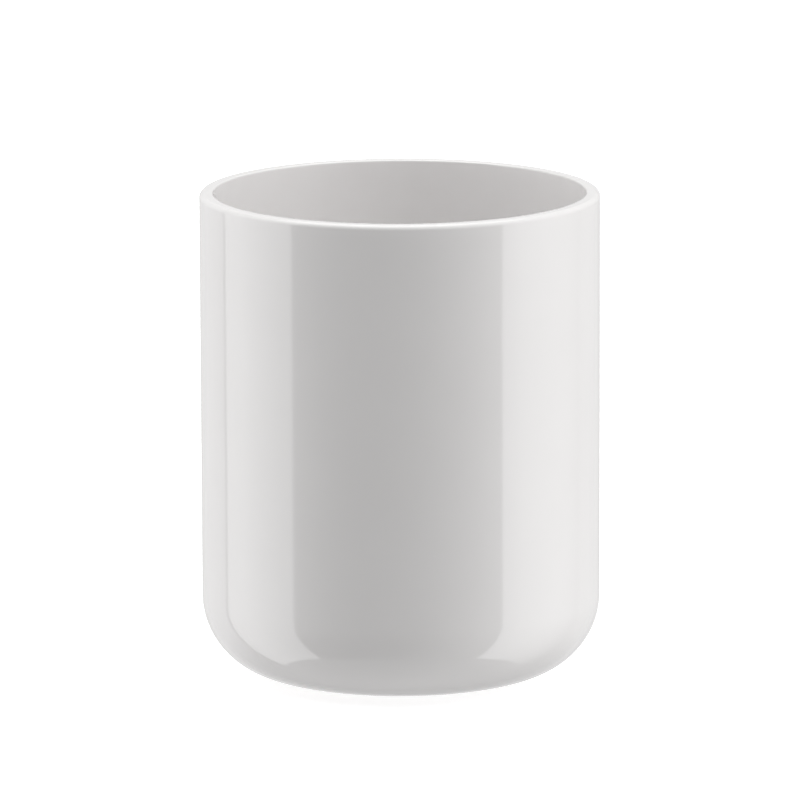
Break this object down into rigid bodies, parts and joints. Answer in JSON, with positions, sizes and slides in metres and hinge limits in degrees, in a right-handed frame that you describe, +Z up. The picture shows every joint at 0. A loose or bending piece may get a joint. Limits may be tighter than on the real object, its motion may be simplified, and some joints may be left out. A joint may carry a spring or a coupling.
{
  "type": "pen cup",
  "caption": "Round desk pen cup: straight thick-walled gloss moulding with a softened lip and a large base radius, standing on a recessed non-slip pad.",
  "frame": {"origin": "on the cup's axis, at the underside of the non-slip pad, which is the level of the desk", "axes": "+Z up the cup's axis, from the pad to the lip; the cup is round, so X and Y are interchangeable"},
  "size_m": [0.078, 0.078, 0.0955],
  "materials": {
    "white_gloss_plastic": "polished, opaque, neutral white, with the faint waviness of a moulded surface",
    "adhesive_film": "dull translucent double-sided film",
    "pad_elastomer": "fine matte, light grey"
  },
  "bodies": {
    "root": {"cup_body": "white_gloss_plastic", "pad_adhesive": "adhesive_film", "non_slip_pad": "pad_elastomer"}
  },
  "joints": []
}
